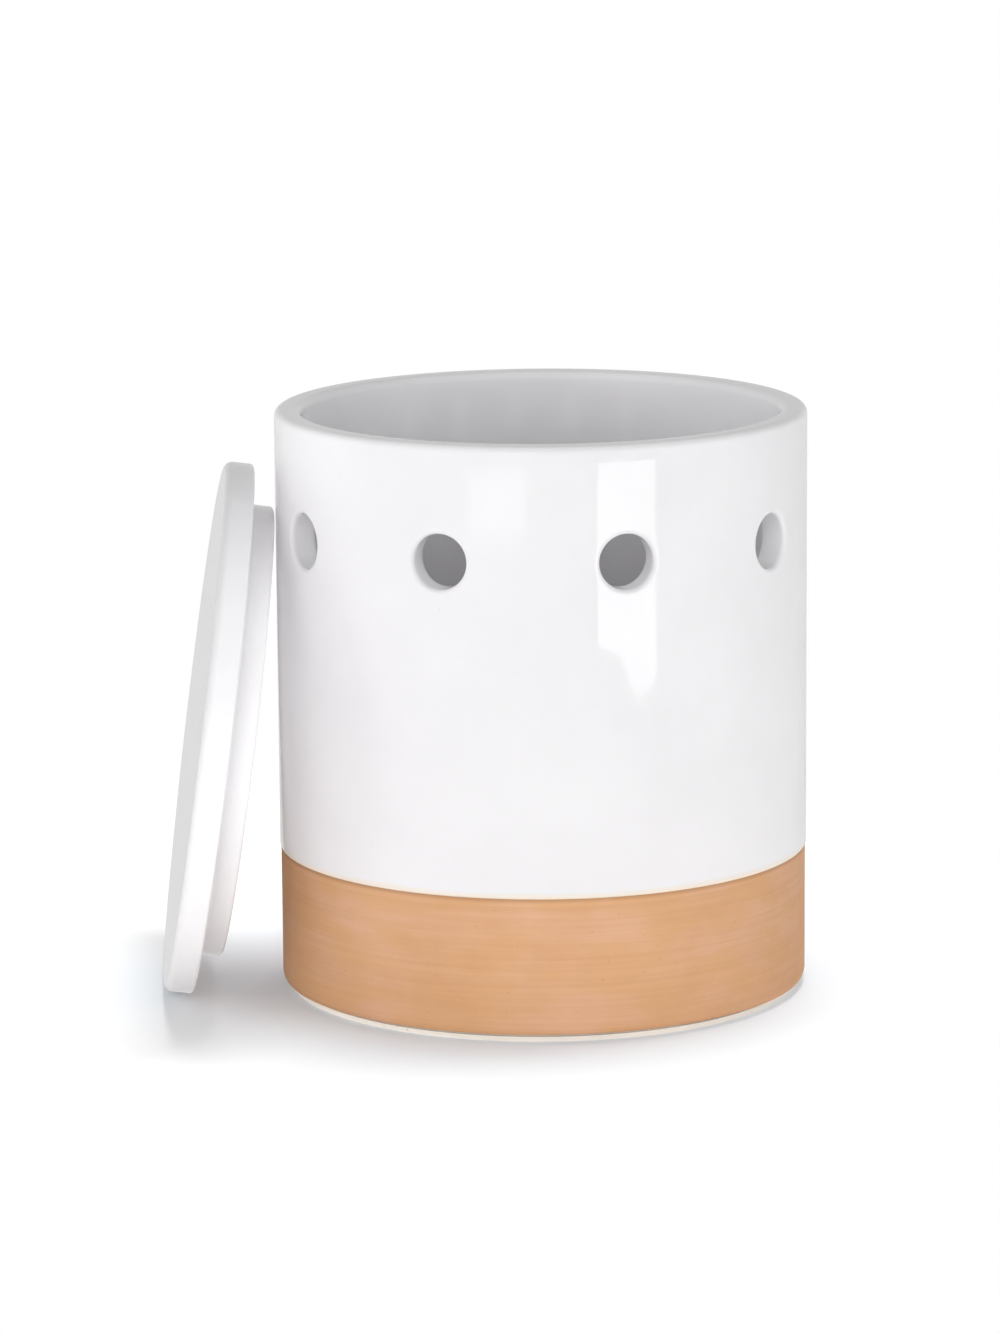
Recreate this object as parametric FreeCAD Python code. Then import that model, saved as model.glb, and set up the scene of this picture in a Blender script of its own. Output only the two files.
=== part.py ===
import FreeCAD, Part

import math
import os

from FreeCAD import Vector

# A round ceramic jar with a ring of air vents, and the loose lid that leans against its side.
# The frame's origin is the centre of the jar's base on the table, +Z is up and -Y is the front.
# All sizes are in millimetres.

# Jar, over its glaze
JAR_DIAMETER = 135.0
JAR_HEIGHT = 149.0
WALL_THICKNESS = 7.0
FLOOR_THICKNESS = 8.0
INNER_CORNER_RADIUS = 9.0
RIM_OUTER_RADIUS = 1.8
RIM_INNER_RADIUS = 2.2

# Foot, where the bare clay stands on the table
BOTTOM_CORNER_RADIUS = 3.2
FOOT_HEIGHT = 1.2
FOOT_INSET = 2.6
FOOT_RING_WIDTH = 8.0
BASE_RECESS_DEPTH = 2.4
BASE_RECESS_SLOPE = 3.0

# Coats on the fired clay
GLAZE_THICKNESS = 0.5
SLIP_THICKNESS = 0.2
BAND_TOP_HEIGHT = 36.6
GLAZE_LIP_HEIGHT = 0.9

# Vents
VENT_COUNT = 9
VENT_DIAMETER = 13.8
VENT_HEIGHT = 120.0
VENT_EDGE_EASE = 0.7
FIRST_VENT_ANGLE = 18.15

# Lid, over its glaze
LID_OVERHANG = 0.4
LID_THICKNESS = 7.4
LID_TOP_EDGE_RADIUS = 2.2
LID_UNDER_EDGE_RADIUS = 0.8
PLUG_CLEARANCE = 2.8
PLUG_DEPTH = 6.3
PLUG_EDGE_RADIUS = 1.0
PLUG_RING_WIDTH = 7.0
PLUG_ROOT_RADIUS = 1.2
LID_RECESS_CORNER_RADIUS = 2.0

# Where the lid leans
LEAN_ANGLE = 7.85
LEAN_DIRECTION = 183.9
LEAN_GAP = 0.3

# Flats that stand for the rounding of each turned corner
CORNER_FLATS = 2

# Worked out from the sizes above
jar_radius = JAR_DIAMETER / 2
mouth_radius = jar_radius - WALL_THICKNESS
vent_radius = VENT_DIAMETER / 2
foot_radius = jar_radius - SLIP_THICKNESS - FOOT_INSET
lid_radius = jar_radius + LID_OVERHANG
plug_radius = mouth_radius - PLUG_CLEARANCE
lid_recess_radius = plug_radius - PLUG_RING_WIDTH


def corner_points(before, corner, after, radius):
    """The points of a rounded corner, drawn as short flats that touch its arc."""
    to_before = (before - corner).normalize()
    to_after = (after - corner).normalize()
    half_angle = to_before.getAngle(to_after) / 2
    centre = corner + (to_before + to_after).normalize() * (radius / math.sin(half_angle))
    start = corner + to_before * (radius / math.tan(half_angle))
    end = corner + to_after * (radius / math.tan(half_angle))
    first_spoke, last_spoke = start - centre, end - centre
    points = []
    for step in range(CORNER_FLATS + 1):
        share = step / CORNER_FLATS
        spoke = (first_spoke * (1 - share) + last_spoke * share).normalize()
        points.append(centre + spoke * radius)
    return points


def section(points, corners):
    """A closed face in the XZ plane through (radius, height) points.

    corners maps a point's index to the radius of its rounding.
    """
    outline = []
    for index, (x, z) in enumerate(points):
        corner = Vector(x, 0, z)
        if index in corners:
            last = Vector(points[index - 1][0], 0, points[index - 1][1])
            following = points[(index + 1) % len(points)]
            outline += corner_points(last, corner, Vector(following[0], 0, following[1]), corners[index])
        else:
            outline.append(corner)
    return Part.Face(Part.makePolygon(outline + outline[:1]))


def revolved(points, corners):
    """The solid that a section sweeps in a full turn round the Z axis."""
    return section(points, corners).revolve(Vector(0, 0, 0), Vector(0, 0, 1), 360)


def vent_cutters(radius):
    """One radial rod for each vent, long enough to pass right through the wall."""
    first = Vector(0, -1, 0)
    rods = []
    for number in range(VENT_COUNT):
        angle = FIRST_VENT_ANGLE + number * 360.0 / VENT_COUNT
        direction = FreeCAD.Rotation(Vector(0, 0, 1), angle).multVec(first)
        start = direction * (mouth_radius - WALL_THICKNESS) + Vector(0, 0, VENT_HEIGHT)
        rods.append(Part.makeCylinder(radius, 3 * WALL_THICKNESS, start, direction))
    return Part.makeCompound(rods)


def is_vent_edge(edge):
    """True for the curved edges where a vent breaks through a cylindrical wall."""
    box = edge.BoundBox
    round_hole = abs(box.ZLength - VENT_DIAMETER) < 0.01 * VENT_DIAMETER
    return round_hole and abs(box.Center.z - VENT_HEIGHT) < GLAZE_THICKNESS


def with_soft_vents(pot):
    """The pot with its vents cut and their edges eased, as thick glaze leaves them."""
    pierced = pot.cut(vent_cutters(vent_radius))
    edges = [edge for edge in pierced.Edges if is_vent_edge(edge)]
    return pierced.makeChamfer(VENT_EDGE_EASE, edges)


def glazed_pot():
    """Everything inside the finished surfaces above the band, clay and glaze together."""
    middle_of_wall = jar_radius - WALL_THICKNESS / 2
    middle_of_floor = FOOT_HEIGHT + FLOOR_THICKNESS / 2
    lip_start = jar_radius - GLAZE_THICKNESS
    points = [
        (0, middle_of_floor),
        (middle_of_wall, middle_of_floor),
        (middle_of_wall, BAND_TOP_HEIGHT),
        (lip_start, BAND_TOP_HEIGHT),
        (jar_radius, BAND_TOP_HEIGHT + GLAZE_LIP_HEIGHT),
        (jar_radius, JAR_HEIGHT),
        (mouth_radius, JAR_HEIGHT),
        (mouth_radius, FLOOR_THICKNESS),
        (0, FLOOR_THICKNESS),
    ]
    corners = {4: GLAZE_LIP_HEIGHT, 5: RIM_OUTER_RADIUS, 6: RIM_INNER_RADIUS, 7: INNER_CORNER_RADIUS}
    return with_soft_vents(revolved(points, corners))


def clay_pot():
    """The fired clay under the coats, with its foot ring and the hollow under the base."""
    outside = jar_radius - GLAZE_THICKNESS
    inside = mouth_radius + GLAZE_THICKNESS
    top = JAR_HEIGHT - GLAZE_THICKNESS
    floor = FLOOR_THICKNESS - GLAZE_THICKNESS
    recess_rim = foot_radius - FOOT_RING_WIDTH
    points = [
        (0, BASE_RECESS_DEPTH),
        (recess_rim - BASE_RECESS_SLOPE, BASE_RECESS_DEPTH),
        (recess_rim, 0),
        (foot_radius, 0),
        (foot_radius, FOOT_HEIGHT),
        (outside, FOOT_HEIGHT),
        (outside, top),
        (inside, top),
        (inside, floor),
        (0, floor),
    ]
    corners = {
        5: BOTTOM_CORNER_RADIUS - SLIP_THICKNESS,
        6: RIM_OUTER_RADIUS - GLAZE_THICKNESS,
        7: RIM_INNER_RADIUS - GLAZE_THICKNESS,
        8: INNER_CORNER_RADIUS + GLAZE_THICKNESS,
    }
    return revolved(points, corners).cut(vent_cutters(vent_radius + GLAZE_THICKNESS))


def slip_band():
    """The thin clay slip round the lower wall, from the glaze's edge down to the foot."""
    clay = jar_radius - GLAZE_THICKNESS
    slip = clay + SLIP_THICKNESS
    foot_edge = FOOT_HEIGHT + SLIP_THICKNESS
    outer = revolved(
        [(0, FOOT_HEIGHT), (slip, FOOT_HEIGHT), (slip, BAND_TOP_HEIGHT), (0, BAND_TOP_HEIGHT)],
        {1: BOTTOM_CORNER_RADIUS},
    )
    inner = revolved(
        [(0, FOOT_HEIGHT), (clay, FOOT_HEIGHT), (clay, BAND_TOP_HEIGHT), (0, BAND_TOP_HEIGHT)],
        {1: BOTTOM_CORNER_RADIUS - SLIP_THICKNESS},
    )
    below = Part.makeCylinder(jar_radius, foot_edge - FOOT_HEIGHT, Vector(0, 0, FOOT_HEIGHT))
    return outer.cut(inner).cut(below)


def glazed_lid():
    """The lid with its glaze, lying flat. Height 0 is where its disc sits on the rim."""
    points = [
        (0, 0),
        (lid_recess_radius, 0),
        (lid_recess_radius, -PLUG_DEPTH),
        (plug_radius, -PLUG_DEPTH),
        (plug_radius, 0),
        (lid_radius, 0),
        (lid_radius, LID_THICKNESS),
        (0, LID_THICKNESS),
    ]
    corners = {
        1: LID_RECESS_CORNER_RADIUS,
        2: PLUG_EDGE_RADIUS,
        3: PLUG_EDGE_RADIUS,
        4: PLUG_ROOT_RADIUS,
        5: LID_UNDER_EDGE_RADIUS,
        6: LID_TOP_EDGE_RADIUS,
    }
    return revolved(points, corners)


def leaning_place():
    """Where the lid stands: its lower edge on the table and its plug's edge against the jar."""
    lean = math.radians(LEAN_ANGLE)
    plug_depth_middle = PLUG_DEPTH - PLUG_EDGE_RADIUS
    plug_ring_middle = plug_radius - PLUG_EDGE_RADIUS
    distance = jar_radius + LEAN_GAP + PLUG_EDGE_RADIUS
    distance += plug_depth_middle * math.cos(lean) + plug_ring_middle * math.sin(lean)
    height = LID_UNDER_EDGE_RADIUS * (1 - math.sin(lean))
    height += (lid_radius - LID_UNDER_EDGE_RADIUS) * math.cos(lean)
    outward = FreeCAD.Rotation(Vector(0, 0, 1), LEAN_DIRECTION)
    tipped = FreeCAD.Rotation(Vector(0, 1, 0), 90 - LEAN_ANGLE)
    centre = outward.multVec(Vector(distance, 0, height))
    return FreeCAD.Placement(centre, outward.multiply(tipped))


def jar_pieces():
    """The jar's clay, its white glaze and its terracotta band."""
    clay = clay_pot()
    return {
        "jar_body": clay,
        "jar_glaze": glazed_pot().cut(clay),
        "clay_band": slip_band(),
    }


os.makedirs("parts", exist_ok=True)
pieces = jar_pieces()
pieces["lid"] = glazed_lid()
pieces["lid"].Placement = leaning_place()
for name, shape in pieces.items():
    print(name, "solids", len(shape.Solids), "valid", shape.isValid(), "volume", round(shape.Volume, 1))
    shape.exportStep(os.path.join("parts", name + ".step"))
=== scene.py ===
import math

import bmesh
import bpy
from mathutils import Matrix, Vector


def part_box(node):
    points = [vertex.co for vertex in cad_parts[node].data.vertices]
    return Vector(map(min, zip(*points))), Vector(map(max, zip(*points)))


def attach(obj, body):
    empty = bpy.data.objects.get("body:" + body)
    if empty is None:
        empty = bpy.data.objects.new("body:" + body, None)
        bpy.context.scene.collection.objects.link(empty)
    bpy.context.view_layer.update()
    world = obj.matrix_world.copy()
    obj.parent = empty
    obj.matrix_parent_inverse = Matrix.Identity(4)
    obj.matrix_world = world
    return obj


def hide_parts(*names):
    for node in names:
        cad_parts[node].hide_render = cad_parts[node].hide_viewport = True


bl_info = {
    "name": "Garlic Keeper",
    "version": (1, 0, 0),
    "blender": (4, 5, 0),
    "location": "3D View > Sidebar > Keeper",
    "description": "A glazed stoneware keeper with vents, a terracotta band and a leaning lid",
    "category": "Object",
}

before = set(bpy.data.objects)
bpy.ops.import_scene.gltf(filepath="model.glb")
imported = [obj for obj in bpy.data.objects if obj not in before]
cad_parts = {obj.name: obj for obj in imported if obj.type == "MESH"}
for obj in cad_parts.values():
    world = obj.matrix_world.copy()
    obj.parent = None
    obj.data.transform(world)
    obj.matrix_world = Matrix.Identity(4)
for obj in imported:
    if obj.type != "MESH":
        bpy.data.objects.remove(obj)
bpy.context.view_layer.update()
glaze_low, glaze_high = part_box("jar_glaze")
band_low, band_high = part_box("clay_band")

MM = 0.001
FULL_TURN = 2 * math.pi


# Settings that a user would change


def length(name, description, millimetres):
    """A size property, given in millimetres and kept in metres."""
    return bpy.props.FloatProperty(
        name=name,
        description=description,
        default=millimetres * MM,
        min=0.0,
        precision=5,
        subtype="DISTANCE",
        unit="LENGTH",
    )


def angle(name, description, degrees):
    """An angle property, given in degrees and kept in radians."""
    return bpy.props.FloatProperty(
        name=name,
        description=description,
        default=math.radians(degrees),
        subtype="ANGLE",
        unit="ROTATION",
    )


def colour(name, description, value):
    """A colour property, as linear red, green and blue."""
    return bpy.props.FloatVectorProperty(
        name=name,
        description=description,
        default=value,
        min=0.0,
        max=1.0,
        size=3,
        subtype="COLOR",
    )


def watts(name, description, power):
    """A lamp's power."""
    return bpy.props.FloatProperty(
        name=name, description=description, default=power, min=0.0, unit="POWER"
    )


class KeeperJarSettings(bpy.types.PropertyGroup):
    """Sizes of the jar over its glaze."""

    radius: length("Radius", "Outside of the glazed wall", (glaze_high.x - glaze_low.x) / 2 / MM)
    height: length("Height", "Table to rim", glaze_high.z / MM)
    wall: length("Wall", "Thickness of the glazed wall", 7.0)
    floor: length("Floor", "Height of the inside floor", 8.0)
    inner_corner: length("Inner corner", "Rounding between inside wall and floor", 10.5)
    rim_outside: length("Rim outside", "Rounding of the rim's outer edge", 1.8)
    rim_inside: length("Rim inside", "Rounding of the rim's inner edge", 2.2)
    glaze: length("Glaze", "Thickness of the glaze coat", 0.5)
    glaze_edge: length("Glaze edge", "Height of the glaze's lower edge", band_high.z / MM)
    vent_radius: length("Vent radius", "Inside of each glazed vent", 6.9)
    vent_height: length("Vent height", "Table to the middle of the vents", 120.0)
    vent_rounding: length("Vent rounding", "Rounding of the glaze at a vent's edges", 1.15)
    vent_count: bpy.props.IntProperty(
        name="Vents", description="Vents round the wall", default=9, min=1
    )
    first_vent: angle("First vent", "Turn from the front to the first vent", 18.15)


class KeeperBandSettings(bpy.types.PropertyGroup):
    """Sizes of the terracotta band."""

    radius: length("Radius", "Outside of the slip", (band_high.x - band_low.x) / 2 / MM)
    thickness: length("Thickness", "Thickness of the slip", 0.2)
    bottom: length("Bottom", "Height of the slip's lower edge", band_low.z / MM)
    foot_height: length("Foot height", "Height of the bare foot", 1.2)
    corner: length("Corner", "Rounding at the bottom of the wall", 2.6)
    overlap: length("Overlap", "Slip that runs up under the glaze", 0.35)
    groove_depth: length("Groove depth", "Depth of the turning marks", 0.015)


class KeeperLidSettings(bpy.types.PropertyGroup):
    """Sizes and place of the lid."""

    radius: length("Radius", "Outside of the lid's disc", 67.9)
    thickness: length("Thickness", "Thickness of the disc", 7.4)
    top_edge: length("Top edge", "Rounding of the disc's upper edge", 2.2)
    under_edge: length("Under edge", "Rounding of the disc's lower edge", 0.8)
    plug_radius: length("Plug radius", "Outside of the plug", 57.7)
    plug_depth: length("Plug depth", "Depth of the plug", 6.3)
    plug_edge: length("Plug edge", "Rounding of the plug's end", 1.0)
    plug_root: length("Plug root", "Rounding where plug and disc meet", 1.2)
    ring_width: length("Ring width", "Width of the plug's ring", 7.0)
    recess_corner: length("Recess corner", "Rounding in the hollow", 2.0)
    lean: angle("Lean", "Tilt of the lid from upright", 7.85)
    direction: angle("Direction", "Side of the jar that the lid leans on", 183.9)
    gap: length("Gap", "Space between the lid and the jar", 0.3)


class KeeperFinishSettings(bpy.types.PropertyGroup):
    """Colours of the finishes."""

    glaze: colour("Glaze", "White glaze", (0.86, 0.85, 0.865))
    glaze_thin: colour("Thin glaze", "Glaze where it runs thin", (0.86, 0.76, 0.64))
    slip: colour("Slip", "Terracotta slip", (0.725, 0.42, 0.226))
    slip_dark: colour("Dark slip", "Slip in its turning marks", (0.633, 0.343, 0.175))
    slip_rosy: colour("Rosy slip", "Slip where it lies thicker", (0.755, 0.45, 0.292))
    clay: colour("Clay", "Bare fired clay", (0.94, 0.88, 0.81))


class KeeperStageSettings(bpy.types.PropertyGroup):
    """The camera and its surroundings."""

    distance: bpy.props.FloatProperty(
        name="Camera distance",
        description="Camera to the middle of the jar",
        default=1.4555,
        subtype="DISTANCE",
        unit="LENGTH",
    )
    elevation: angle("Camera elevation", "Camera above the table", 11.408)
    aim_side: angle("Aim side", "Camera turned to the right of the jar", -0.4228)
    aim_up: angle("Aim up", "Camera turned above the jar", 0.2217)
    roll: angle("Roll", "Camera rolled about its line of sight", -0.3535)
    lens: bpy.props.FloatProperty(
        name="Lens", description="Focal length in millimetres", default=153.78
    )
    left_power: watts("Left", "Power of the lamp at the left", 7.1)
    front_power: watts("Front", "Power of the lamp left of the camera", 5.7)
    right_power: watts("Right", "Power of the lamp at the right", 5.0)
    above_power: watts("Above", "Power of the lamp that throws the shadow", 11.5)
    fill_power: watts("Fill", "Power of the lamp behind", 4.0)
    near_power: watts("Near", "Power of the lamp that lights the lid alone", 5.0)
    low_power: watts("Low", "Power of the lamp that lights the band alone", 3.6)
    side_light: bpy.props.FloatProperty(
        name="Side light", description="Strength of the light from the sides", default=0.84
    )
    top_light: bpy.props.FloatProperty(
        name="Top light", description="Strength of the light from above", default=0.30
    )
    floor_white: bpy.props.FloatProperty(
        name="Floor white", description="How white the table shows near the jar", default=0.95
    )


# Sections and meshes

WELD_DISTANCE = 0.002 * MM
SHORTEST_EDGE = 0.001 * MM


def arc(centre, radius, start, end, steps):
    """Points of an arc in a section, from start to end in degrees."""
    points = []
    for step in range(steps + 1):
        turn = math.radians(start + (end - start) * step / steps)
        points.append((centre[0] + radius * math.cos(turn), centre[1] + radius * math.sin(turn)))
    return points


def straight(start, end, steps):
    """Points between two ends of a section, without the ends."""
    points = []
    for step in range(1, steps):
        share = step / steps
        points.append(tuple(a + (b - a) * share for a, b in zip(start, end)))
    return points


def add_grid(mesh, rows, closed=True, skip=()):
    """Quads between rows of points. Faces in (row, column) pairs in skip are left open."""
    lattice = [[mesh.verts.new(point) for point in row] for row in rows]
    columns = len(rows[0])
    last = columns if closed else columns - 1
    for row in range(len(lattice) - 1):
        for column in range(last):
            if (row, column) in skip:
                continue
            following = (column + 1) % columns
            mesh.faces.new(
                (
                    lattice[row][column],
                    lattice[row][following],
                    lattice[row + 1][following],
                    lattice[row + 1][column],
                )
            )


def finished_object(name, mesh, material):
    """An object of one welded, smooth mesh with its material."""
    bmesh.ops.remove_doubles(mesh, verts=mesh.verts, dist=WELD_DISTANCE)
    bmesh.ops.dissolve_degenerate(mesh, edges=mesh.edges, dist=SHORTEST_EDGE)
    loose = [vert for vert in mesh.verts if not vert.link_faces]
    bmesh.ops.delete(mesh, geom=loose, context="VERTS")
    bmesh.ops.recalc_face_normals(mesh, faces=mesh.faces)
    data = bpy.data.meshes.new(name)
    mesh.to_mesh(data)
    mesh.free()
    data.shade_smooth()
    data.materials.append(material)
    piece = bpy.data.objects.new(name, data)
    bpy.context.scene.collection.objects.link(piece)
    return piece


def turned(profile, columns):
    """Rows of points that a closed section makes in a full turn."""
    rows = []
    for radius, height in profile:
        row = []
        for column in range(columns):
            turn = FULL_TURN * column / columns
            row.append(Vector((radius * math.cos(turn), radius * math.sin(turn), height)))
        rows.append(row)
    return rows


# The jar's glaze, woven as a round grid with a square patch for each vent

PATCH_HALF = 12.5 * MM
PATCH_STEPS = 16
BETWEEN_STEPS = 14
PATCH_RINGS = 7
RING_CROWDING = 1.35
ROUND_STEPS = 6
TUBE_STEPS = 5
BEAD_STEPS = 5
LOWER_WALL_STEPS = 30
UPPER_WALL_STEPS = 6
RIM_OUTSIDE_STEPS = 7
RIM_TOP_STEPS = 4
RIM_INSIDE_STEPS = 8
UPPER_INSIDE_STEPS = 5
LOWER_INSIDE_STEPS = 20
INNER_CORNER_STEPS = 12
FLOOR_STEPS = 14
DEEPEST_SWELL = 0.07 * MM
# The swells, as waves: strength, waves round the jar, radians over its height, and start
SWELLS = ((1.0, 3, 4.0, 0.0), (1.0, 5, -9.0, 1.3), (0.6, 2, 17.0, 0.4))


def patch_offsets():
    """Places along one side of a vent's square patch, from one corner to the other."""
    return [PATCH_HALF * (2 * step / PATCH_STEPS - 1) for step in range(PATCH_STEPS + 1)]


def column_angles(jar, radius):
    """The angle of every column of the grid on a wall of that radius."""
    angles = []
    sector = FULL_TURN / jar.vent_count
    edge = math.asin(PATCH_HALF / radius)
    for number in range(jar.vent_count):
        middle = jar.first_vent + number * sector - math.pi / 2
        angles += [middle + math.asin(offset / radius) for offset in patch_offsets()]
        gap = sector - 2 * edge
        angles += [middle + edge + gap * step / BETWEEN_STEPS for step in range(1, BETWEEN_STEPS)]
    return angles


def wall_rows(jar, profile):
    """Rows of points for (radius, height, inside share) triples of the pot's section."""
    outer = column_angles(jar, jar.radius)
    inner = column_angles(jar, jar.radius - jar.wall)
    rows = []
    for radius, height, inside in profile:
        row = []
        for outer_turn, inner_turn in zip(outer, inner):
            turn = outer_turn * (1 - inside) + inner_turn * inside
            row.append(Vector((radius * math.cos(turn), radius * math.sin(turn), height)))
        rows.append(row)
    return rows


def pot_profile(jar):
    """The pot's closed section, and the first rows of the two stretches that hold the vents.

    The section is (radius, height, inside share) triples. The inside share turns the columns
    over from those of the outer wall to those of the inner wall.
    """
    outside, inside = jar.radius, jar.radius - jar.wall
    top, low = jar.vent_height + PATCH_HALF, jar.vent_height - PATCH_HALF
    bead = jar.glaze
    hidden = outside - jar.wall / 2
    heart = jar.floor / 2
    outer_wall = [(0.0, heart), (hidden / 2, heart), (hidden, heart), (hidden, jar.glaze_edge)]
    outer_wall += arc((outside - bead, jar.glaze_edge + bead), bead, -90, 0, BEAD_STEPS)
    above_bead = (outside, jar.glaze_edge + 2 * bead)
    outer_wall += [above_bead] + straight(above_bead, (outside, low), LOWER_WALL_STEPS)
    outer_vents = [(outside, low)] + straight((outside, low), (outside, top), PATCH_STEPS)
    rim_out = (outside - jar.rim_outside, jar.height - jar.rim_outside)
    rim_in = (inside + jar.rim_inside, jar.height - jar.rim_inside)
    rim = [(outside, top)] + straight((outside, top), (outside, rim_out[1]), UPPER_WALL_STEPS)
    rim += arc(rim_out, jar.rim_outside, 0, 90, RIM_OUTSIDE_STEPS)
    rim += straight((rim_out[0], jar.height), (rim_in[0], jar.height), RIM_TOP_STEPS)
    down = arc(rim_in, jar.rim_inside, 90, 180, RIM_INSIDE_STEPS)
    down += straight((inside, rim_in[1]), (inside, top), UPPER_INSIDE_STEPS)
    inner_vents = [(inside, top)] + straight((inside, top), (inside, low), PATCH_STEPS)
    bend = jar.inner_corner
    inner_wall = [(inside, low)]
    inner_wall += straight((inside, low), (inside, jar.floor + bend), LOWER_INSIDE_STEPS)
    inner_wall += arc((inside - bend, jar.floor + bend), bend, 0, -90, INNER_CORNER_STEPS)
    inner_wall += straight((inside - bend, jar.floor), (0.0, jar.floor), FLOOR_STEPS)
    inner_wall += [(0.0, jar.floor)]
    profile = [(r, z, 0.0) for r, z in outer_wall + outer_vents + rim]
    for index, (r, z) in enumerate(down):
        profile.append((r, z, min(1.0, (index + 1) / RIM_INSIDE_STEPS)))
    profile += [(r, z, 1.0) for r, z in inner_vents + inner_wall]
    first_outer = len(outer_wall)
    first_inner = first_outer + len(outer_vents) + len(rim) + len(down)
    return profile, (first_outer, first_inner)


def patch_faces(jar, first_rows):
    """The (row, column) pairs that the vents' patches fill."""
    stride = PATCH_STEPS + BETWEEN_STEPS
    pairs = set()
    for first in first_rows:
        for row in range(first, first + PATCH_STEPS):
            for number in range(jar.vent_count):
                for column in range(PATCH_STEPS):
                    pairs.add((row, number * stride + column))
    return pairs


def patch_border():
    """Points (sideways, up) round the border of a vent's square patch."""
    steps = patch_offsets()
    border = [(step, -PATCH_HALF) for step in steps[:-1]]
    border += [(PATCH_HALF, step) for step in steps[:-1]]
    border += [(-step, PATCH_HALF) for step in steps[:-1]]
    border += [(-PATCH_HALF, -step) for step in steps[:-1]]
    return border


def vent_rings(jar):
    """Rings from a patch's border on the outer wall, through the vent, to the inner wall.

    Each is (reach, margin, share, offset). reach is 1 on the patch's square border and 0
    where the ring is round. margin is how much wider the ring is than the vent. share is
    how far through the wall it lies, and offset moves it outward from there.
    """
    rounding = jar.vent_rounding
    approach = []
    for step in range(PATCH_RINGS + 1):
        approach.append(((1 - step / PATCH_RINGS) ** RING_CROWDING, rounding, 0.0))
    for step in range(1, ROUND_STEPS + 1):
        turn = math.pi / 2 * step / ROUND_STEPS
        approach.append((0.0, rounding * (1 - math.sin(turn)), rounding * (1 - math.cos(turn))))
    rings = [(reach, margin, 0.0, -depth) for reach, margin, depth in approach]
    for step in range(1, TUBE_STEPS):
        share = step / TUBE_STEPS
        rings.append((0.0, 0.0, share, rounding * (2 * share - 1)))
    rings += [(reach, margin, 1.0, depth) for reach, margin, depth in reversed(approach)]
    return rings


def vent_rows(jar, number):
    """Rows of points from the outer wall, through one vent, to the inner wall."""
    middle = jar.first_vent + number * FULL_TURN / jar.vent_count - math.pi / 2
    outward = Vector((math.cos(middle), math.sin(middle), 0.0))
    sideways = Vector((-math.sin(middle), math.cos(middle), 0.0))
    rows = []
    for reach, margin, share, offset in vent_rings(jar):
        row = []
        for side, up in patch_border():
            away = math.hypot(side, up)
            hole = jar.vent_radius + margin
            scale = (hole + (away - hole) * reach) / away
            across, rise = side * scale, up * scale
            outer = math.sqrt(jar.radius**2 - across**2)
            inner = math.sqrt((jar.radius - jar.wall) ** 2 - across**2)
            distance = outer + (inner - outer) * share + offset
            point = outward * distance + sideways * across
            point.z = jar.vent_height + rise
            row.append(point)
        rows.append(row)
    return rows


def handmade(mesh, jar):
    """Draws the glazed wall in by a few hundredths of a millimetre, in slow swells."""
    full = sum(strength for strength, _, _, _ in SWELLS)
    for vert in mesh.verts:
        distance = math.hypot(vert.co.x, vert.co.y)
        if distance < jar.radius - jar.wall * 1.2:
            continue
        turn = math.atan2(vert.co.y, vert.co.x)
        height = vert.co.z / jar.height
        swell = 0.0
        for strength, waves, pace, start in SWELLS:
            swell += strength * math.sin(waves * turn + pace * height + start)
        shrink = 1 - DEEPEST_SWELL * (0.5 + swell / (2 * full)) / distance
        vert.co.x *= shrink
        vert.co.y *= shrink


def make_jar_glaze(jar, material):
    """The whole glazed pot above the band, with its vents, as one closed mesh."""
    mesh = bmesh.new()
    profile, vent_starts = pot_profile(jar)
    rows = wall_rows(jar, profile)
    add_grid(mesh, rows + rows[:1], skip=patch_faces(jar, vent_starts))
    for number in range(jar.vent_count):
        add_grid(mesh, vent_rows(jar, number))
    handmade(mesh, jar)
    return finished_object("jar_glaze_coat", mesh, material)


# The band and the lid

BAND_COLUMNS = 240
BAND_ROWS = 96
BAND_CORNER_START = -88
BAND_CORNER_STEPS = 14
CORE_CORNER_END = -86
CORE_CORNER_STEPS = 8
LID_COLUMNS = 240
LID_TOP_STEPS = 24
LID_TOP_EDGE_STEPS = 10
LID_CORNER_STEPS = 6
LID_FLAT_STEPS = 4
HOLLOW_CORNER_STEPS = 8
HOLLOW_STEPS = 16


# Turning marks, as waves up the band: strength, radians for each millimetre, and start
TURNING_WAVES = ((1.0, 5.1, 0.0), (0.7, 8.7, 1.1), (0.8, 2.3, 0.5))


def groove(height):
    """How deep a turning mark is at a height, from 0 to 1."""
    up = height / MM
    full = sum(strength for strength, _, _ in TURNING_WAVES)
    marks = sum(strength * math.sin(up * pace + start) for strength, pace, start in TURNING_WAVES)
    return 0.5 + marks / (2 * full)


def make_band(band, jar, material):
    """The slip band, with faint turning marks cut round it."""
    core = band.radius - band.thickness
    corner_height = band.foot_height + band.corner
    top = jar.glaze_edge + band.overlap
    middle = (band.radius - band.corner, corner_height)
    outer = arc(middle, band.corner, BAND_CORNER_START, 0, BAND_CORNER_STEPS)
    outer += straight((band.radius, corner_height), (band.radius, top), BAND_ROWS)
    outer += [(band.radius, top)]
    outer = [(r - band.groove_depth * groove(z), z) for r, z in outer if z >= band.bottom]
    bend = band.corner - band.thickness
    middle = (core - bend, band.foot_height + bend)
    inner = [(core, top)] + arc(middle, bend, 0, CORE_CORNER_END, CORE_CORNER_STEPS)
    profile = outer + [(r, max(z, band.bottom)) for r, z in inner]
    mesh = bmesh.new()
    rows = turned(profile, BAND_COLUMNS)
    add_grid(mesh, rows + rows[:1])
    return finished_object("terracotta_band", mesh, material)


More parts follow.
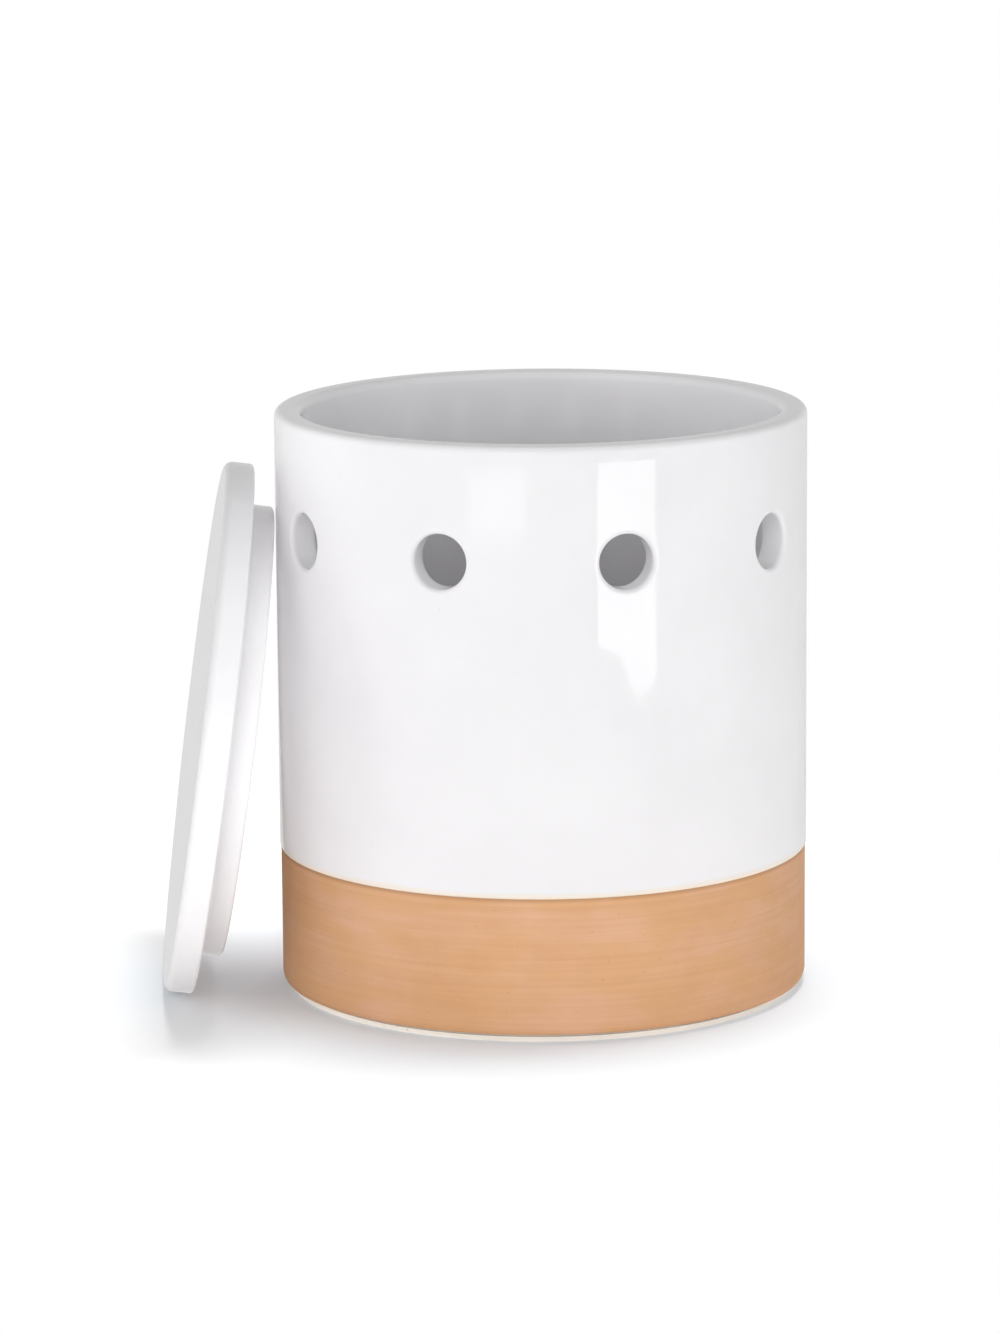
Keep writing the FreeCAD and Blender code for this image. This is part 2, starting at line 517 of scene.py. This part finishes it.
def lid_profile(lid):
    """The lid's section from the middle of its top to the middle of its hollow."""
    recess = lid.plug_radius - lid.ring_width
    depth = -lid.plug_depth
    edge, under_edge, root, end = lid.top_edge, lid.under_edge, lid.plug_root, lid.plug_edge
    bend = lid.recess_corner
    top = [(0.0, lid.thickness)]
    top += straight(top[0], (lid.radius - edge, lid.thickness), LID_TOP_STEPS)
    top += arc((lid.radius - edge, lid.thickness - edge), edge, 90, 0, LID_TOP_EDGE_STEPS)
    top += arc((lid.radius - under_edge, under_edge), under_edge, 0, -90, LID_CORNER_STEPS)
    under = straight((lid.radius - under_edge, 0.0), (lid.plug_radius + root, 0.0), LID_FLAT_STEPS)
    under += arc((lid.plug_radius + root, -root), root, 90, 180, LID_CORNER_STEPS)
    plug = arc((lid.plug_radius - end, depth + end), end, 0, -90, LID_CORNER_STEPS)
    plug += straight((lid.plug_radius - end, depth), (recess + end, depth), LID_FLAT_STEPS)
    plug += arc((recess + end, depth + end), end, 270, 180, LID_CORNER_STEPS)
    hollow = arc((recess - bend, -bend), bend, 0, 90, HOLLOW_CORNER_STEPS)
    hollow += straight((recess - bend, 0.0), (0.0, 0.0), HOLLOW_STEPS)
    return top + under + plug + hollow + [(0.0, 0.0)]


def leaning_place(lid, jar):
    """Where the lid stands: its lower edge on the table and its plug's edge by the jar."""
    distance = jar.radius + lid.gap + lid.plug_edge
    distance += (lid.plug_depth - lid.plug_edge) * math.cos(lid.lean)
    distance += (lid.plug_radius - lid.plug_edge) * math.sin(lid.lean)
    height = lid.under_edge * (1 - math.sin(lid.lean))
    height += (lid.radius - lid.under_edge) * math.cos(lid.lean)
    outward = Matrix.Rotation(lid.direction, 4, "Z")
    tipped = Matrix.Rotation(math.pi / 2 - lid.lean, 4, "Y")
    return outward @ Matrix.Translation((distance, 0.0, height)) @ tipped


def make_lid(lid, jar, material):
    """The lid as one closed, turned mesh, leaning in its place."""
    mesh = bmesh.new()
    add_grid(mesh, turned(lid_profile(lid), LID_COLUMNS))
    bmesh.ops.transform(mesh, matrix=leaning_place(lid, jar), verts=mesh.verts)
    return finished_object("glazed_lid", mesh, material)


# Materials

# Specks: colour, scale, a speck's full and faded reach, strength, then the scale of the
# noise that picks them and the values of it between which they come in
GLAZE_SPECKS = ((0.55, 0.47, 0.38), 420.0, (0.05, 0.11), 0.35, 150.0, (0.66, 0.70))
SLIP_GRAINS = ((0.24, 0.12, 0.06), 900.0, (0.08, 0.2), 0.4, 300.0, (0.6, 0.68))
CLAY_GROG = ((0.42, 0.30, 0.20), 700.0, (0.06, 0.18), 1.0, 210.0, (0.56, 0.66))
# How far the slip's patterns are squeezed along each axis
SLIP_STREAKS = (9.0, 9.0, 900.0)
FINE_STREAKS = (40.0, 40.0, 2600.0)
SLIP_PATCHES = (55.0, 55.0, 110.0)
# Colour of the painted shade on the slip just under the glaze's edge
SLIP_SHADOW = (0.30, 0.15, 0.07)
GLAZE_SHADE = 0.955
CLAY_SHADE = 0.94
GLAZE_IOR = 1.52
SLIP_IOR = 1.33
SLIP_SPECULAR = 0.1
EDGE_WANDER = 0.9 * MM
LID_SWELL = 0.02 * MM
JAR_SWELL = 0.12 * MM
JAR_RIPPLE = 0.012 * MM
SLIP_LINES = 0.05 * MM
SLIP_GRIT = 0.03 * MM
CLAY_GRIT = 0.06 * MM


class Nodes:
    """Short names for building a material's nodes."""

    def __init__(self, name):
        self.material = bpy.data.materials.new(name)
        self.material.use_nodes = True
        self.tree = self.material.node_tree
        self.shader = self.tree.nodes["Principled BSDF"]

    def add(self, kind, settings=None, **sockets):
        """A new node. settings are its own values, and sockets its inputs by name."""
        node = self.tree.nodes.new(kind)
        for key, value in (settings or {}).items():
            setattr(node, key, value)
        for key, value in sockets.items():
            self.feed(node, key.replace("_", " "), value)
        return node

    def feed(self, node, socket, value):
        """Links an output to a socket, or sets the socket's own value."""
        target = node.inputs[socket]
        if isinstance(value, bpy.types.NodeSocket):
            self.tree.links.new(value, target)
        else:
            target.default_value = value

    def noise(self, place, scale, detail=3.0, roughness=0.5):
        """Grey noise over a place."""
        return self.add(
            "ShaderNodeTexNoise", Vector=place, Scale=scale, Detail=detail, Roughness=roughness
        ).outputs["Fac"]

    def spread(self, value, low, high, new_low=0.0, new_high=1.0):
        """Maps a value from one range to another and stops at its ends."""
        node = self.add("ShaderNodeMapRange", Value=value)
        for name, number in (
            ("From Min", low),
            ("From Max", high),
            ("To Min", new_low),
            ("To Max", new_high),
        ):
            node.inputs[name].default_value = number
        return node.outputs["Result"]

    def mix(self, share, first, second):
        """One colour blended into another."""
        node = self.add("ShaderNodeMix", {"data_type": "RGBA"})
        self.feed(node, 0, share)
        self.feed(node, 6, first)
        self.feed(node, 7, second)
        return node.outputs[2]

    def maths(self, operation, first, second=0.0):
        """One arithmetic step."""
        node = self.add("ShaderNodeMath", {"operation": operation})
        self.feed(node, 0, first)
        self.feed(node, 1, second)
        return node.outputs[0]

    def times(self, first, second):
        """One value times another."""
        return self.maths("MULTIPLY", first, second)

    def bump(self, height, distance, strength=0.5, normal=None):
        """A normal that follows a height."""
        node = self.add("ShaderNodeBump", Height=height, Distance=distance, Strength=strength)
        if normal is not None:
            self.feed(node, "Normal", normal)
        return node.outputs["Normal"]


def place_and_height(nodes):
    """Object coordinates and the height above the table."""
    place = nodes.add("ShaderNodeTexCoord").outputs["Object"]
    parts = nodes.add("ShaderNodeSeparateXYZ", Vector=place)
    return place, parts.outputs["Z"]


def stretched(nodes, place, along):
    """The place, stretched by a factor for each axis."""
    node = nodes.add("ShaderNodeMapping", Vector=place)
    node.inputs["Scale"].default_value = along
    return node.outputs["Vector"]


def span(nodes, operation, first, second=None):
    """The length of a place, or its distance from another."""
    node = nodes.add("ShaderNodeVectorMath", {"operation": operation})
    nodes.feed(node, 0, first)
    if second is not None:
        nodes.feed(node, 1, second)
    return node.outputs["Value"]


def rgba(tone, factor=1.0):
    """A colour property times a factor, as four numbers."""
    return (tone[0] * factor, tone[1] * factor, tone[2] * factor, 1.0)


def with_specks(nodes, base, place, specks):
    """The colour with rare round specks of one kind."""
    tone, scale, reach, strength, noise_scale, chance = specks
    cells = nodes.add("ShaderNodeTexVoronoi", Vector=place, Scale=scale, Randomness=1.0)
    dots = nodes.spread(cells.outputs["Distance"], *reach, 1.0, 0.0)
    chosen = nodes.spread(nodes.noise(place, noise_scale, detail=1.0), *chance)
    share = nodes.times(nodes.times(dots, chosen), strength)
    return nodes.mix(share, base, rgba(tone))


def with_thin_edge(nodes, base, place, height, finish, jar):
    """The glaze's colour, warmer along its lower edge on the outside, where it runs thin."""
    wander = nodes.times(nodes.noise(place, 60.0, detail=2.0), EDGE_WANDER)
    above = nodes.maths("SUBTRACT", height, nodes.maths("ADD", wander, jar.glaze_edge))
    thin = nodes.spread(above, 0.1 * MM, 1.3 * MM, 0.85, 0.0)
    radius = span(nodes, "LENGTH", stretched(nodes, place, (1.0, 1.0, 0.0)))
    outside = nodes.spread(radius, jar.radius - 2 * MM, jar.radius - MM)
    return nodes.mix(nodes.times(thin, outside), base, rgba(finish.glaze_thin))


def glaze_material(name, finish, jar=None):
    """White gloss glaze with faint mottling, pinholes and slow swells, also for the lid.

    With jar given, it also has the jar's thin lower edge and its stronger swells.
    """
    nodes = Nodes(name)
    place, height = place_and_height(nodes)
    cloud = nodes.spread(nodes.noise(place, 26.0, detail=4.0, roughness=0.55), 0.35, 0.68)
    base = nodes.mix(cloud, rgba(finish.glaze, GLAZE_SHADE), rgba(finish.glaze))
    base = with_specks(nodes, base, place, GLAZE_SPECKS)
    swell = nodes.bump(nodes.noise(place, 60.0, detail=1.0), JAR_SWELL if jar else LID_SWELL)
    if jar:
        base = with_thin_edge(nodes, base, place, height, finish, jar)
        swell = nodes.bump(nodes.noise(place, 230.0, detail=1.0), JAR_RIPPLE, normal=swell)
    roughness = nodes.spread(nodes.noise(place, 70.0, detail=3.0), 0.3, 0.7, 0.035, 0.075)
    nodes.feed(nodes.shader, "Base Color", base)
    nodes.feed(nodes.shader, "Roughness", roughness)
    nodes.feed(nodes.shader, "IOR", GLAZE_IOR)
    nodes.feed(nodes.shader, "Normal", swell)
    return nodes.material


def slip_material(finish, jar):
    """Terracotta slip: turning streaks round the pot, clouds and grains, and hardly a sheen."""
    nodes = Nodes("terracotta_slip")
    place, height = place_and_height(nodes)
    streak_place = stretched(nodes, place, SLIP_STREAKS)
    streaks = nodes.noise(streak_place, 1.0, detail=4.0, roughness=0.6)
    fine_streaks = nodes.noise(stretched(nodes, place, FINE_STREAKS), 1.0, detail=2.0)
    cloud = nodes.noise(place, 32.0, detail=4.0, roughness=0.6)
    tone = nodes.times(streaks, 0.4)
    tone = nodes.maths("ADD", tone, nodes.times(fine_streaks, 0.2))
    tone = nodes.maths("ADD", tone, nodes.times(cloud, 0.5))
    patches = nodes.noise(stretched(nodes, place, SLIP_PATCHES), 1.0)
    patches = nodes.spread(patches, 0.42, 0.62)
    pale = nodes.mix(patches, rgba(finish.slip), rgba(finish.slip_rosy))
    base = nodes.mix(nodes.spread(tone, 0.32, 0.72), rgba(finish.slip_dark), pale)
    base = with_specks(nodes, base, place, SLIP_GRAINS)
    edge = jar.glaze_edge
    # Painted shade: the slip darkens towards the glaze's lower edge, under its bead
    shade_under_glaze = nodes.spread(height, edge - 1.1 * MM, edge - 0.1 * MM, 0.0, 0.45)
    base = nodes.mix(shade_under_glaze, base, rgba(SLIP_SHADOW))
    lines = nodes.bump(fine_streaks, SLIP_LINES)
    grit = nodes.bump(nodes.noise(place, 1500.0, detail=2.0), SLIP_GRIT, normal=lines)
    nodes.feed(nodes.shader, "Base Color", base)
    nodes.feed(nodes.shader, "Roughness", nodes.spread(tone, 0.4, 0.7, 0.46, 0.62))
    nodes.feed(nodes.shader, "IOR", SLIP_IOR)
    nodes.feed(nodes.shader, "Specular IOR Level", SLIP_SPECULAR)
    nodes.feed(nodes.shader, "Normal", grit)
    return nodes.material


def clay_material(finish):
    """Bare fired clay: matt, cream, with grog and small pits."""
    nodes = Nodes("bare_clay")
    place, _ = place_and_height(nodes)
    cloud = nodes.noise(place, 45.0, detail=5.0, roughness=0.6)
    dull, pale = rgba(finish.clay, CLAY_SHADE), rgba(finish.clay)
    base = nodes.mix(nodes.spread(cloud, 0.35, 0.65), dull, pale)
    base = with_specks(nodes, base, place, CLAY_GROG)
    grit = nodes.bump(nodes.noise(place, 1100.0, detail=3.0), CLAY_GRIT, 0.6)
    nodes.feed(nodes.shader, "Base Color", base)
    nodes.feed(nodes.shader, "Roughness", nodes.spread(cloud, 0.3, 0.7, 0.72, 0.88))
    nodes.feed(nodes.shader, "Normal", grit)
    return nodes.material


# Stage, lamps and camera

WHITE = (1.0, 1.0, 1.0, 1.0)
TOP_LIGHT_RISE = 0.75

# The table: its own colour, a painted cool tint near the band that offsets the band's warm bounce
# light in the shadow, its tint in the open, and where it fades
TABLE_HALF = 6.0
PLAIN_TABLE = (0.8, 0.8, 0.8, 1.0)
BOUNCE_OFFSET_TINT = (0.93, 1.0, 1.07)
OPEN_TINT = (0.985, 1.0, 1.01)
TINT_RANGE = (0.07, 0.115)
FADE_STRETCH = (1.0, 0.7, 1.0)
FADE_MIDDLE = (-0.03, 0.042, 0.0)
FADE_RANGE = (0.095, 0.17)

# Lamps that stand round the jar: name, bearing, distance, height and size
LAMPS = (
    ("left", -80, 1.5, 0.42, (1.1, 0.8)),
    ("front", -14, 1.5, 0.42, (1.1, 0.8)),
    ("right", 55, 1.5, 0.42, (1.1, 0.8)),
    ("low", 12, 1.5, 0.3, (0.8, 0.6)),
    ("near", -10, 1.5, 0.3, (0.8, 0.6)),
    ("fill", 172, 1.6, 0.6, (1.0, 1.0)),
)
LAMP_TARGET = (0.0, 0.0, 0.08)
ABOVE_PLACE = (0.12, 0.15, 1.3)
ABOVE_TARGET = (0.0, 0.0, 0.0)
ABOVE_SIZE = (0.5, 0.5)

# Brightness of the cards all round, and of two window panes with (bearing, height) corners
SURROUND = 0.72
STRIP_GLOW = 3.2
STRIP = ((22, 0.034), (30, 0.030), (38, 0.019), (46, 0.024), (46, 0.093), (22, 0.093))
PANE_GLOW = 1.8
PANE = ((-28, 0.070), (-6, 0.070), (-6, 0.091), (-28, 0.091))
PANE_DISTANCE = 0.40
# Ray lengths over which a pane dims, so that only the side of the jar near it mirrors it
GLOW_REACH = (0.353, 0.366)

# The cards all round: a wall, and a ring that lies on the table
FLAG_STEPS = 48
FLAG_NEAR = 0.08
FLAG_FAR = 1.1
FLAG_TOP = 1.6
FLAG_LIFT = 0.0004

CAMERA_TARGET = (0.0, 0.0, 76 * MM)
SENSOR_WIDTH = 36.0


def seen_directly(tree):
    """1 for rays from the camera, or off gloss or through glass, and else 0."""
    ray = tree.nodes.new("ShaderNodeLightPath")
    total = ray.outputs["Is Camera Ray"]
    for output in ("Is Glossy Ray", "Is Transmission Ray"):
        either = tree.nodes.new("ShaderNodeMath")
        either.operation = "MAXIMUM"
        tree.links.new(total, either.inputs[0])
        tree.links.new(ray.outputs[output], either.inputs[1])
        total = either.outputs[0]
    return total


def blended(tree, share, first, second):
    """One shader blended into another."""
    node = tree.nodes.new("ShaderNodeMixShader")
    for socket, source in enumerate((share, first.outputs[0], second.outputs[0])):
        tree.links.new(source, node.inputs[socket])
    return node


def stage_mesh(name, corners, faces=None):
    """One stage piece through its corners, with an empty material."""
    data = bpy.data.meshes.new(name)
    data.from_pydata(corners, [], faces or [tuple(range(len(corners)))])
    piece = bpy.data.objects.new(name, data)
    bpy.context.scene.collection.objects.link(piece)
    nodes = Nodes(name)
    nodes.tree.nodes.remove(nodes.shader)
    data.materials.append(nodes.material)
    return piece, nodes


def add_floor(stage):
    """A white table top that keeps the shadow and fades into the background."""
    half = TABLE_HALF
    corners = [(-half, -half, 0.0), (half, -half, 0.0), (half, half, 0.0), (-half, half, 0.0)]
    table_top, nodes = stage_mesh("table_top", corners)
    tree = nodes.tree
    plain = nodes.add("ShaderNodeBsdfDiffuse", Color=PLAIN_TABLE)
    far = nodes.add("ShaderNodeEmission", Color=WHITE, Strength=1.0)
    place = nodes.add("ShaderNodeTexCoord").outputs["Object"]
    outward = nodes.spread(span(nodes, "LENGTH", place), *TINT_RANGE)
    bounce_offset_tint, in_the_open = (rgba(tint, stage.floor_white) for tint in (BOUNCE_OFFSET_TINT, OPEN_TINT))
    # Painted cool tint near the jar, offsetting the band's warm bounce light in the table's shadow
    near = nodes.add("ShaderNodeBsdfDiffuse", Color=nodes.mix(outward, bounce_offset_tint, in_the_open))
    away = span(nodes, "DISTANCE", stretched(nodes, place, FADE_STRETCH), FADE_MIDDLE)
    fade = blended(tree, nodes.spread(away, *FADE_RANGE), near, far)
    pick = blended(tree, seen_directly(tree), plain, fade)
    tree.links.new(pick.outputs[0], tree.nodes["Material Output"].inputs["Surface"])
    return table_top


def add_world(stage):
    """Soft light from the sides of the studio. The camera and gloss see it as white."""
    world = bpy.data.worlds.new("studio")
    bpy.context.scene.world = world
    world.use_nodes = True
    tree = world.node_tree
    soft = tree.nodes["Background"]
    soft.inputs["Color"].default_value = WHITE
    direction = tree.nodes.new("ShaderNodeTexCoord")
    parts = tree.nodes.new("ShaderNodeSeparateXYZ")
    tree.links.new(direction.outputs["Generated"], parts.inputs[0])
    level = tree.nodes.new("ShaderNodeMapRange")
    for name, number in (
        ("From Min", 0.0),
        ("From Max", TOP_LIGHT_RISE),
        ("To Min", stage.side_light),
        ("To Max", stage.top_light),
    ):
        level.inputs[name].default_value = number
    tree.links.new(parts.outputs["Z"], level.inputs["Value"])
    tree.links.new(level.outputs["Result"], soft.inputs["Strength"])
    white = tree.nodes.new("ShaderNodeBackground")
    white.inputs["Color"].default_value = WHITE
    white.inputs["Strength"].default_value = 1.0
    pick = blended(tree, seen_directly(tree), soft, white)
    tree.links.new(pick.outputs[0], tree.nodes["World Output"].inputs["Surface"])


def only_in_gloss(piece):
    """Leaves a card to be seen only in glossy reflections."""
    piece.visible_camera = False
    piece.visible_diffuse = False
    piece.visible_shadow = False
    piece.visible_transmission = False


def add_reflected_card(name, corners, brightness, faces=None):
    """A glowing card that only gloss mirrors.

    One that is brighter than the surround dims to it for rays that come from far.
    """
    card, nodes = stage_mesh(name, corners, faces)
    if brightness > SURROUND:
        travelled = nodes.add("ShaderNodeLightPath").outputs["Ray Length"]
        brightness = nodes.spread(travelled, *GLOW_REACH, brightness, SURROUND)
    glow = nodes.add("ShaderNodeEmission", Color=WHITE, Strength=brightness)
    output = nodes.tree.nodes["Material Output"]
    nodes.tree.links.new(glow.outputs[0], output.inputs["Surface"])
    nodes.material.cycles.emission_sampling = "NONE"
    only_in_gloss(card)


def add_softbox(name, place, aim, size, power):
    """A rectangular lamp that faces a point."""
    data = bpy.data.lights.new(name, "AREA")
    data.shape = "RECTANGLE"
    data.size, data.size_y = size
    data.energy = power
    lamp = bpy.data.objects.new(name, data)
    lamp.location = place
    lamp.rotation_mode = "QUATERNION"
    lamp.rotation_quaternion = (Vector(aim) - Vector(place)).to_track_quat("-Z", "Y")
    lamp.visible_camera = False
    bpy.context.scene.collection.objects.link(lamp)
    return lamp


def round_the_jar(degrees, distance, height):
    """A place at that bearing from the front, to the right, and that distance."""
    turn = math.radians(degrees)
    return (distance * math.sin(turn), -distance * math.cos(turn), height)


def linked(name, pieces):
    """A collection of pieces for a lamp to be linked to."""
    group = bpy.data.collections.new(name)
    for piece in pieces:
        group.objects.link(piece)
    return group


def add_lamps(stage, table_top):
    """Large soft lamps round the set. Most light only the pieces that they are linked to."""
    lamps = {}
    for name, bearing, distance, height, size in LAMPS:
        place = round_the_jar(bearing, distance, height)
        power = getattr(stage, name + "_power")
        lamps[name] = add_softbox(name, place, LAMP_TARGET, size, power)
    above = add_softbox("above", ABOVE_PLACE, ABOVE_TARGET, ABOVE_SIZE, stage.above_power)
    lamps["above"] = above
    lamps["fill"].visible_glossy = False
    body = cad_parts["jar_body"]
    glaze, band, lid = (
        bpy.data.objects[name] for name in ("jar_glaze_coat", "terracotta_band", "glazed_lid")
    )
    lamps["left"].light_linking.blocker_collection = linked("shades_left", [glaze, band, body])
    for name, pieces in (
        ("left", [glaze, body, table_top]),
        ("right", [glaze, body, lid, table_top]),
        ("low", [band]),
        ("near", [lid]),
        ("above", [table_top]),
    ):
        lamps[name].light_linking.receiver_collection = linked("lit_from_" + name, pieces)


def add_pane(name, outline, brightness):
    """A pale card through (bearing, height) corners in front of the jar."""
    corners = [round_the_jar(bearing, PANE_DISTANCE, height) for bearing, height in outline]
    add_reflected_card(name, corners, brightness)


def add_flag(name, start, end):
    """A grey card all round the jar, between two edges at (distance, height)."""
    bearings = [360 * step / FLAG_STEPS for step in range(FLAG_STEPS + 1)]
    corners = [round_the_jar(bearing, *start) for bearing in bearings]
    corners += [round_the_jar(bearing, *end) for bearing in reversed(bearings)]
    last = len(corners) - 1
    quads = [(step, step + 1, last - step - 1, last - step) for step in range(FLAG_STEPS)]
    add_reflected_card(name, corners, SURROUND, quads)


def add_cards():
    """The window's panes in front and grey cards all round, for the glaze to mirror."""
    add_pane("window_strip", STRIP, STRIP_GLOW)
    add_pane("window_left", PANE, PANE_GLOW)
    add_flag("flag_round", (FLAG_FAR, 0.0), (FLAG_FAR, FLAG_TOP))
    add_flag("flag_below", (FLAG_NEAR, FLAG_LIFT), (FLAG_FAR, FLAG_LIFT))


def swung(first, second, turn):
    """Two square directions after the first has turned towards the second."""
    along, across = math.cos(turn), math.sin(turn)
    return first * along + second * across, second * along - first * across


def add_camera(stage):
    """The camera at the photograph's angle."""
    data = bpy.data.cameras.new("camera")
    data.sensor_width = SENSOR_WIDTH
    data.lens = stage.lens
    camera = bpy.data.objects.new("camera", data)
    target = Vector(CAMERA_TARGET)
    away = Vector((0.0, -math.cos(stage.elevation), math.sin(stage.elevation)))
    place = target + away * stage.distance
    look = -away
    right = look.cross(Vector((0.0, 0.0, 1.0))).normalized()
    up = right.cross(look)
    look, right = swung(look, right, stage.aim_side)
    look, up = swung(look, up, stage.aim_up)
    right, up = swung(right, up, stage.roll)
    turn = Matrix((right, up, -look)).transposed()
    camera.matrix_world = Matrix.Translation(place) @ turn.to_4x4()
    bpy.context.scene.collection.objects.link(camera)
    bpy.context.scene.camera = camera


# Operators


class KEEPER_OT_jar_glaze(bpy.types.Operator):
    """Adds the jar's white glaze with its vents"""

    bl_idname = "keeper.jar_glaze"
    bl_label = "Jar Glaze"

    def execute(self, context):
        scene = context.scene
        finish, jar = scene.keeper_finish, scene.keeper_jar
        material = glaze_material("white_glaze", finish, jar)
        coat = make_jar_glaze(jar, material)
        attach(coat, "jar")
        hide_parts("jar_glaze")
        return {"FINISHED"}


class KEEPER_OT_band(bpy.types.Operator):
    """Adds the terracotta band"""

    bl_idname = "keeper.band"
    bl_label = "Terracotta Band"

    def execute(self, context):
        scene = context.scene
        material = slip_material(scene.keeper_finish, scene.keeper_jar)
        band = make_band(scene.keeper_band, scene.keeper_jar, material)
        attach(band, "jar")
        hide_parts("clay_band")
        return {"FINISHED"}


class KEEPER_OT_foot(bpy.types.Operator):
    """Gives the bare foot its fired clay"""

    bl_idname = "keeper.foot"
    bl_label = "Bare Foot"

    def execute(self, context):
        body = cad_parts["jar_body"]
        body.data.materials.clear()
        body.data.materials.append(clay_material(context.scene.keeper_finish))
        return {"FINISHED"}


class KEEPER_OT_lid(bpy.types.Operator):
    """Adds the lid that leans against the jar"""

    bl_idname = "keeper.lid"
    bl_label = "Leaning Lid"

    def execute(self, context):
        scene = context.scene
        material = glaze_material("lid_glaze", scene.keeper_finish)
        lid = make_lid(scene.keeper_lid, scene.keeper_jar, material)
        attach(lid, "lid")
        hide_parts("lid")
        return {"FINISHED"}


class KEEPER_OT_stage(bpy.types.Operator):
    """Adds the table top, the light and the camera"""

    bl_idname = "keeper.stage"
    bl_label = "Stage"

    def execute(self, context):
        stage = context.scene.keeper_stage
        table_top = add_floor(stage)
        add_world(stage)
        add_lamps(stage, table_top)
        add_cards()
        add_camera(stage)
        context.scene.view_settings.view_transform = "Standard"
        return {"FINISHED"}


class KEEPER_PT_panel(bpy.types.Panel):
    """Lists the keeper's pieces and settings"""

    bl_label = "Garlic Keeper"
    bl_idname = "KEEPER_PT_panel"
    bl_space_type = "VIEW_3D"
    bl_region_type = "UI"
    bl_category = "Keeper"

    def draw(self, context):
        layout = self.layout
        for operator in OPERATORS:
            layout.operator(operator.bl_idname)
        for name, settings in SETTINGS.items():
            group = getattr(context.scene, name)
            for key in settings.__annotations__:
                layout.prop(group, key)


SETTINGS = {
    "keeper_jar": KeeperJarSettings,
    "keeper_band": KeeperBandSettings,
    "keeper_lid": KeeperLidSettings,
    "keeper_finish": KeeperFinishSettings,
    "keeper_stage": KeeperStageSettings,
}
OPERATORS = (
    KEEPER_OT_jar_glaze,
    KEEPER_OT_band,
    KEEPER_OT_foot,
    KEEPER_OT_lid,
    KEEPER_OT_stage,
)


def register():
    for name, settings in SETTINGS.items():
        bpy.utils.register_class(settings)
        setattr(bpy.types.Scene, name, bpy.props.PointerProperty(type=settings))
    for operator in OPERATORS:
        bpy.utils.register_class(operator)
    bpy.utils.register_class(KEEPER_PT_panel)


def unregister():
    bpy.utils.unregister_class(KEEPER_PT_panel)
    for operator in reversed(OPERATORS):
        bpy.utils.unregister_class(operator)
    for name, settings in SETTINGS.items():
        delattr(bpy.types.Scene, name)
        bpy.utils.unregister_class(settings)


def main():
    """Makes every piece and the stage."""
    register()
    bpy.ops.keeper.jar_glaze()
    bpy.ops.keeper.band()
    bpy.ops.keeper.foot()
    bpy.ops.keeper.lid()
    bpy.ops.keeper.stage()


if __name__ == "__main__":
    main()
